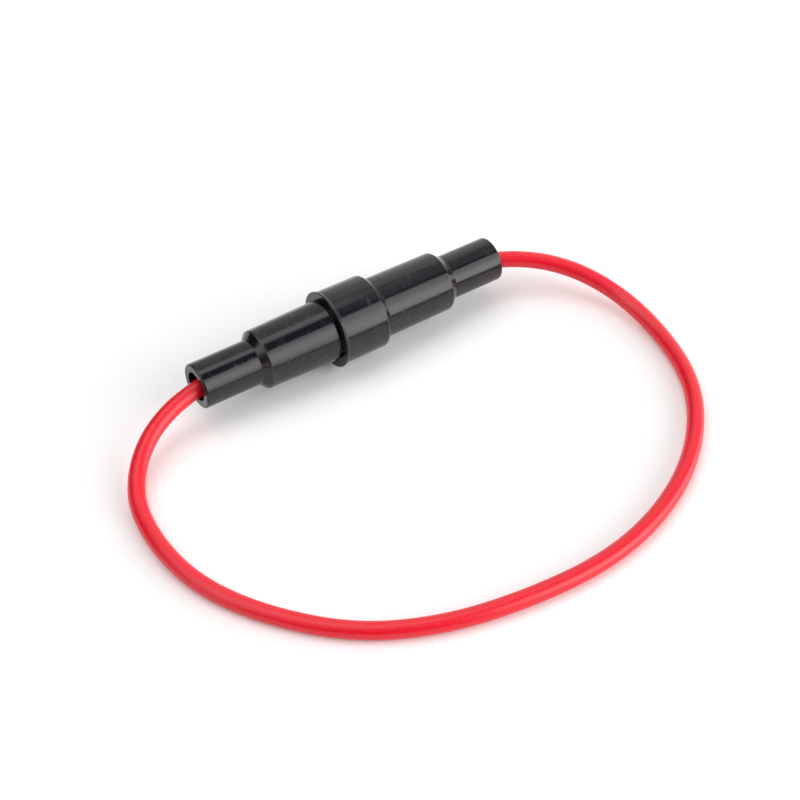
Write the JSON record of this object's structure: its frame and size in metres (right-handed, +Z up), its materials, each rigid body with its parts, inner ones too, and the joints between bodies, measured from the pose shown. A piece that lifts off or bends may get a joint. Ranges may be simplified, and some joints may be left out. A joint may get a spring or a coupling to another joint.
{
  "type": "inline fuse holder",
  "caption": "Screw-together inline holder for a small glass cartridge fuse: stepped round black halves with a collar, spring contact and a red lead looped from end to end.",
  "frame": {"origin": "on the floor under the middle of the holder's length, below its axis", "axes": "+X along the holder's axis from the plug half to the socket half with the collar, +Z up, the lead's loop lies towards -Y"},
  "size_m": [0.0822, 0.0597, 0.0114],
  "materials": {
    "black_plastic": "moulded gloss, fine handling scuffs",
    "red_sleeve": "satin extruded insulation",
    "contact_brass": "drawn, satin",
    "copper_strand": "bare drawn copper",
    "solder": "satin solder",
    "spring_steel": "drawn wire, plated",
    "cap_nickel": "nickel plate",
    "fuse_glass": "clear drawn tube",
    "fuse_wire": "fine bare wire"
  },
  "bodies": {
    "socket_half": {"socket_shell": "black_plastic", "socket_contact": "contact_brass", "socket_strands": "copper_strand", "socket_solder": "solder", "socket_lead_end": "red_sleeve", "fuse_cap_plug": "cap_nickel", "fuse_cap_socket": "cap_nickel", "fuse_glass": "fuse_glass", "fuse_element": "fuse_wire", "lead_loop": "red_sleeve"},
    "plug_lead": {"plug_contact": "contact_brass", "plug_strands": "copper_strand", "plug_solder": "solder", "plug_lead_end": "red_sleeve"},
    "plug_spring": {"contact_spring": "spring_steel"},
    "plug_half": {"plug_shell": "black_plastic"}
  },
  "joints": [
    {"name": "plug_pull", "type": "slide", "parent": "socket_half", "child": "plug_lead", "axis": [-1, 0, 0], "range_m": [0, 0.025], "deforming": ["lead_loop"]},
    {"name": "plug_travel", "type": "slide", "parent": "plug_lead", "child": "plug_spring", "axis": [-1, 0, 0], "range_m": [0, 0.00375], "deforming": ["contact_spring"]},
    {"name": "plug_turn", "type": "hinge", "parent": "plug_spring", "child": "plug_half", "pos_m": [0, 0, 0.00572], "axis": [-1, 0, 0], "range_deg": [0, 900]}
  ],
  "couplings": [
    {"joint": "plug_turn", "follows": "plug_travel", "rad_per_m": 4188.8}
  ]
}
